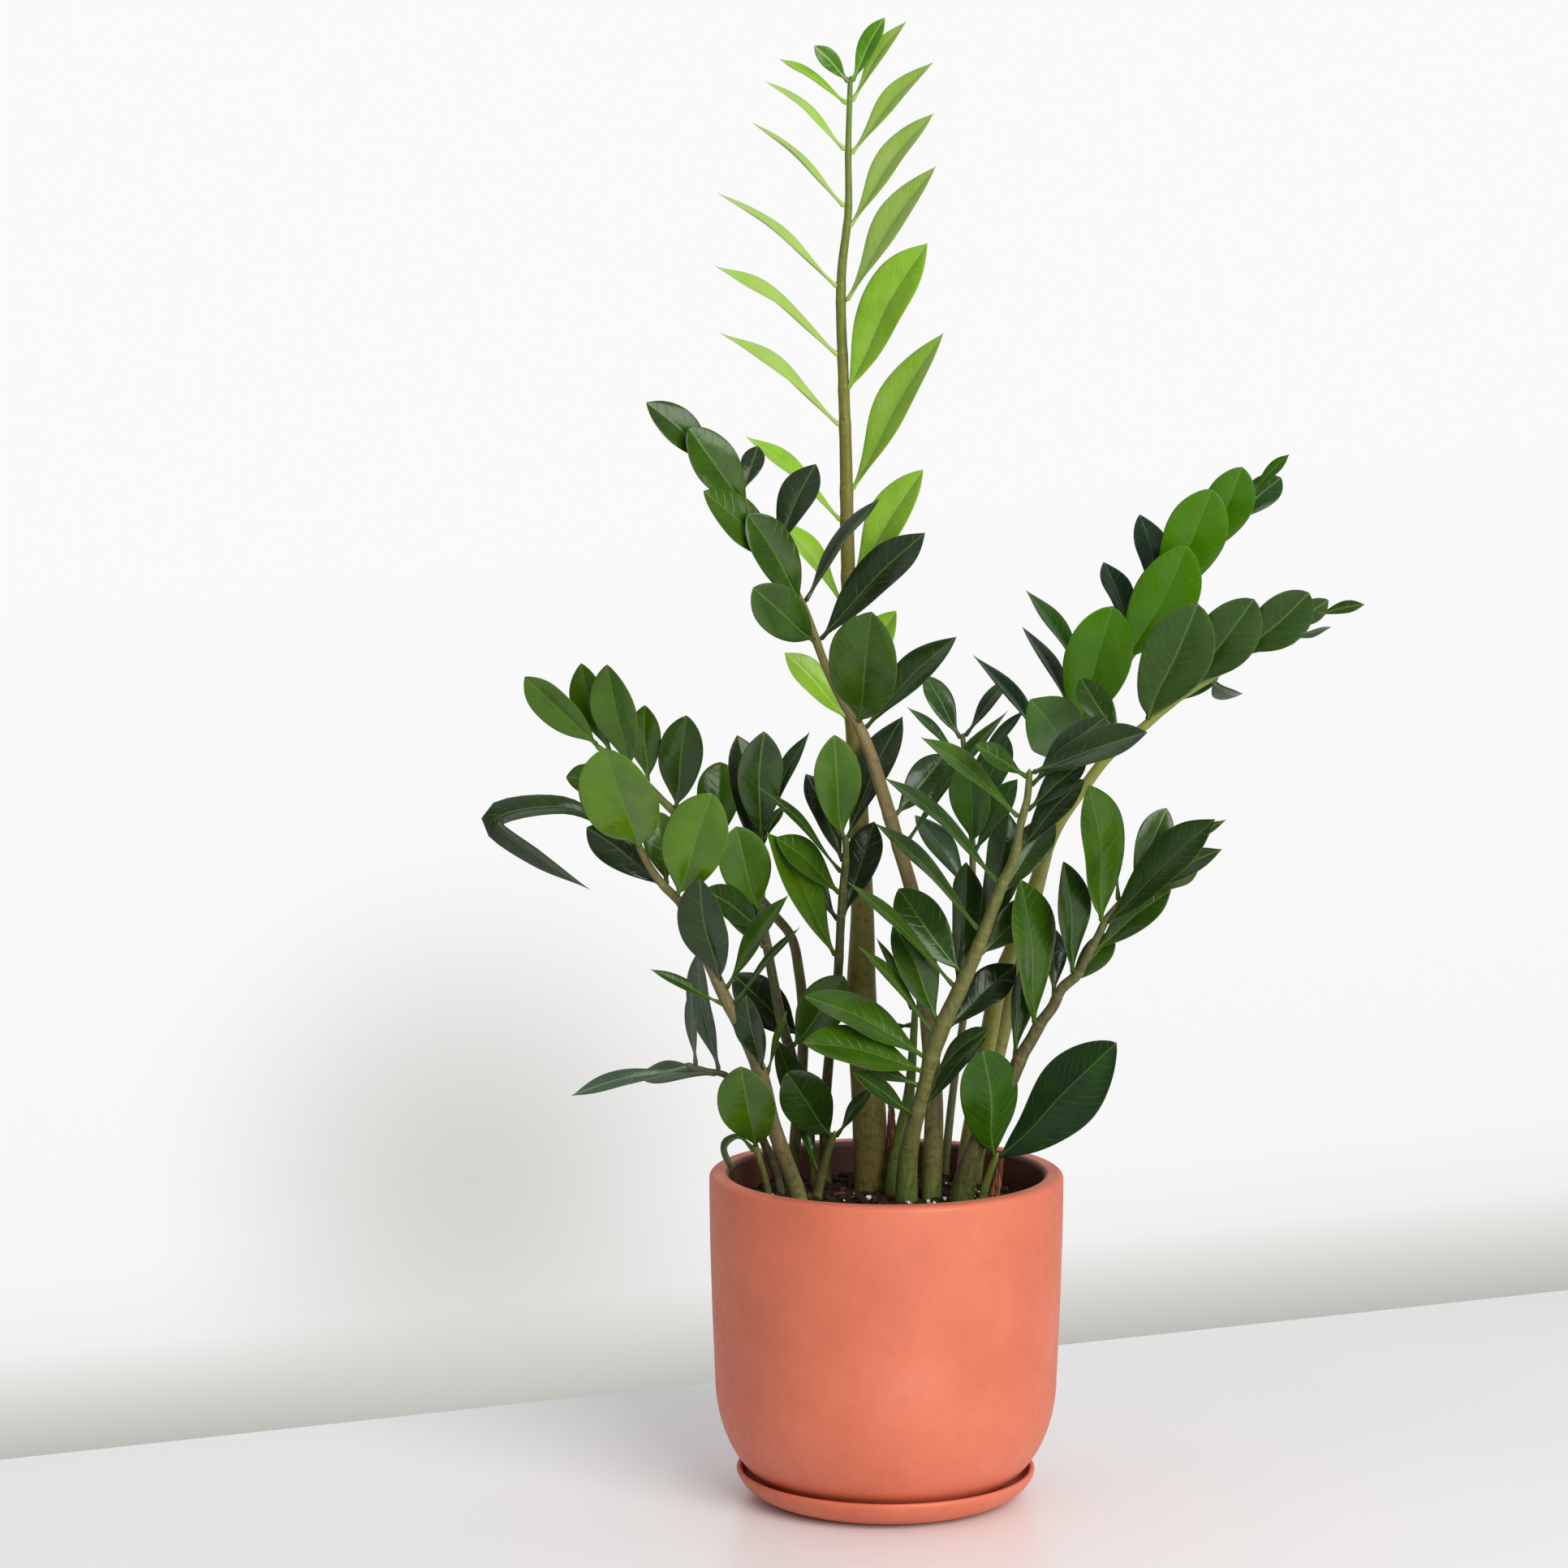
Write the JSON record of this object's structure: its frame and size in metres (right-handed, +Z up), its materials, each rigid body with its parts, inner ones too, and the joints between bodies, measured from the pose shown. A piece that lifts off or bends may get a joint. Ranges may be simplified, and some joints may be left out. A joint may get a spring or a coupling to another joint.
{
  "type": "potted plant",
  "caption": "Leafy houseplant with arching stems and paired glossy leaflets, planted in a round clay pot that stands in a matching saucer.",
  "frame": {"origin": "centre of the saucer's flat foot, on the surface it stands on", "axes": "+Z up along the pot's axis, +X to the viewer's right when the front is seen, and the front faces -Y"},
  "size_m": [0.4354, 0.2383, 0.747],
  "materials": {
    "clay_saucer": "matte",
    "clay_pot": "matte",
    "soil_brown": "matte",
    "stem_green_tall_young": "satin",
    "leaf_green_left_tall_young": "gloss",
    "leaf_green_right_tall_young": "gloss",
    "stem_green_left_leaning": "satin",
    "leaf_green_left_left_leaning": "gloss",
    "leaf_green_right_left_leaning": "gloss",
    "stem_green_bright_right": "satin",
    "leaf_green_left_bright_right": "gloss",
    "leaf_green_right_bright_right": "gloss",
    "stem_green_far_right": "satin",
    "leaf_green_left_far_right": "gloss",
    "leaf_green_right_far_right": "gloss",
    "stem_green_front_left": "satin",
    "leaf_green_left_front_left": "gloss",
    "leaf_green_right_front_left": "gloss",
    "stem_green_back_left": "satin",
    "leaf_green_left_back_left": "gloss",
    "leaf_green_right_back_left": "gloss",
    "stem_green_left_upright": "satin",
    "leaf_green_left_left_upright": "gloss",
    "leaf_green_right_left_upright": "gloss",
    "stem_green_centre_upright": "satin",
    "leaf_green_left_centre_upright": "gloss",
    "leaf_green_right_centre_upright": "gloss",
    "stem_green_front_right": "satin",
    "leaf_green_left_front_right": "gloss",
    "leaf_green_right_front_right": "gloss",
    "stem_green_lower_right": "satin",
    "leaf_green_left_lower_right": "gloss",
    "leaf_green_right_lower_right": "gloss",
    "stem_green_low_right_sprig": "satin",
    "leaf_green_left_low_right_sprig": "gloss",
    "leaf_green_right_low_right_sprig": "gloss",
    "stem_green_low_left_sprig": "satin",
    "leaf_green_left_low_left_sprig": "gloss",
    "leaf_green_right_low_left_sprig": "gloss",
    "stem_green_far_left_low": "satin",
    "leaf_green_left_far_left_low": "gloss",
    "leaf_green_right_far_left_low": "gloss",
    "stem_green_low_centre_sprig": "satin",
    "leaf_green_left_low_centre_sprig": "gloss",
    "leaf_green_right_low_centre_sprig": "gloss",
    "stem_green_behind_centre": "satin",
    "leaf_green_left_behind_centre": "gloss",
    "leaf_green_right_behind_centre": "gloss",
    "stem_green_middle_green": "satin",
    "leaf_green_left_middle_green": "gloss",
    "leaf_green_right_middle_green": "gloss"
  },
  "bodies": {
    "root": {"saucer": "clay_saucer", "pot": "clay_pot", "potting_soil": "soil_brown", "stem_tall_young": "stem_green_tall_young", "leaves_left_tall_young": "leaf_green_left_tall_young", "leaves_right_tall_young": "leaf_green_right_tall_young", "stem_left_leaning": "stem_green_left_leaning", "leaves_left_left_leaning": "leaf_green_left_left_leaning", "leaves_right_left_leaning": "leaf_green_right_left_leaning", "stem_bright_right": "stem_green_bright_right", "leaves_left_bright_right": "leaf_green_left_bright_right", "leaves_right_bright_right": "leaf_green_right_bright_right", "stem_far_right": "stem_green_far_right", "leaves_left_far_right": "leaf_green_left_far_right", "leaves_right_far_right": "leaf_green_right_far_right", "stem_front_left": "stem_green_front_left", "leaves_left_front_left": "leaf_green_left_front_left", "leaves_right_front_left": "leaf_green_right_front_left", "stem_back_left": "stem_green_back_left", "leaves_left_back_left": "leaf_green_left_back_left", "leaves_right_back_left": "leaf_green_right_back_left", "stem_left_upright": "stem_green_left_upright", "leaves_left_left_upright": "leaf_green_left_left_upright", "leaves_right_left_upright": "leaf_green_right_left_upright", "stem_centre_upright": "stem_green_centre_upright", "leaves_left_centre_upright": "leaf_green_left_centre_upright", "leaves_right_centre_upright": "leaf_green_right_centre_upright", "stem_front_right": "stem_green_front_right", "leaves_left_front_right": "leaf_green_left_front_right", "leaves_right_front_right": "leaf_green_right_front_right", "stem_lower_right": "stem_green_lower_right", "leaves_left_lower_right": "leaf_green_left_lower_right", "leaves_right_lower_right": "leaf_green_right_lower_right", "stem_low_right_sprig": "stem_green_low_right_sprig", "leaves_left_low_right_sprig": "leaf_green_left_low_right_sprig", "leaves_right_low_right_sprig": "leaf_green_right_low_right_sprig", "stem_low_left_sprig": "stem_green_low_left_sprig", "leaves_left_low_left_sprig": "leaf_green_left_low_left_sprig", "leaves_right_low_left_sprig": "leaf_green_right_low_left_sprig", "stem_far_left_low": "stem_green_far_left_low", "leaves_left_far_left_low": "leaf_green_left_far_left_low", "leaves_right_far_left_low": "leaf_green_right_far_left_low", "stem_low_centre_sprig": "stem_green_low_centre_sprig", "leaves_left_low_centre_sprig": "leaf_green_left_low_centre_sprig", "leaves_right_low_centre_sprig": "leaf_green_right_low_centre_sprig", "stem_behind_centre": "stem_green_behind_centre", "leaves_left_behind_centre": "leaf_green_left_behind_centre", "leaves_right_behind_centre": "leaf_green_right_behind_centre", "stem_middle_green": "stem_green_middle_green", "leaves_left_middle_green": "leaf_green_left_middle_green", "leaves_right_middle_green": "leaf_green_right_middle_green"}
  },
  "joints": []
}
